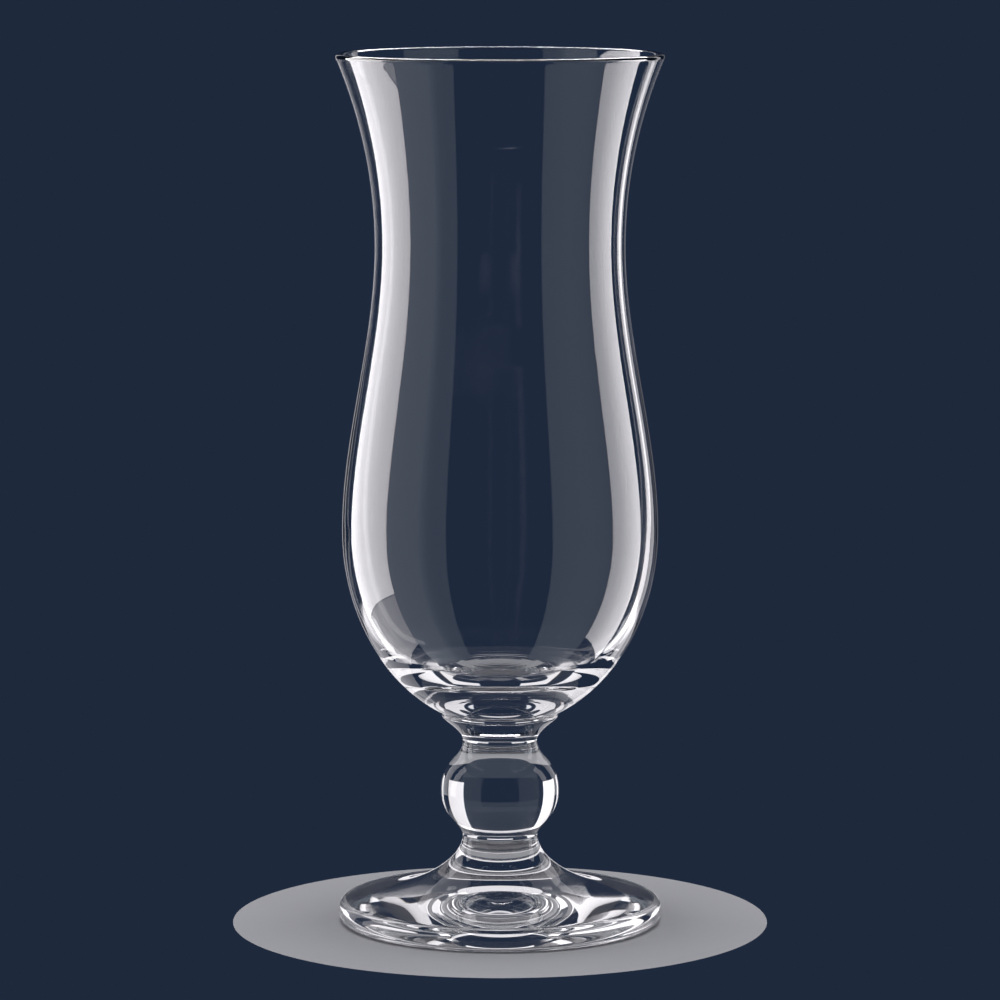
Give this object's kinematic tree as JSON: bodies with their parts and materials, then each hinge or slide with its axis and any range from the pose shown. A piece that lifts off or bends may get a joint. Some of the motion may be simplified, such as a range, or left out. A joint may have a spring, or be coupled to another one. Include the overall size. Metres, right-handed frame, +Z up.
{
  "type": "sling glass",
  "caption": "Tall clear drinking glass: waisted bowl with a flared rim, thick base, collar, ball-knopped stem and a round trumpet foot that stands on its flat ring.",
  "frame": {"origin": "on the glass's axis, at the level of the flat ring under the foot", "axes": "+Z up the axis from the foot to the rim; X and Y are alike, because the glass is turned"},
  "size_m": [0.08, 0.08, 0.2138],
  "materials": {
    "clear_glass": "clear, colourless, fire-polished glass"
  },
  "bodies": {
    "root": {"foot": "clear_glass", "ball_knop": "clear_glass", "collar": "clear_glass", "bowl": "clear_glass"}
  },
  "joints": []
}
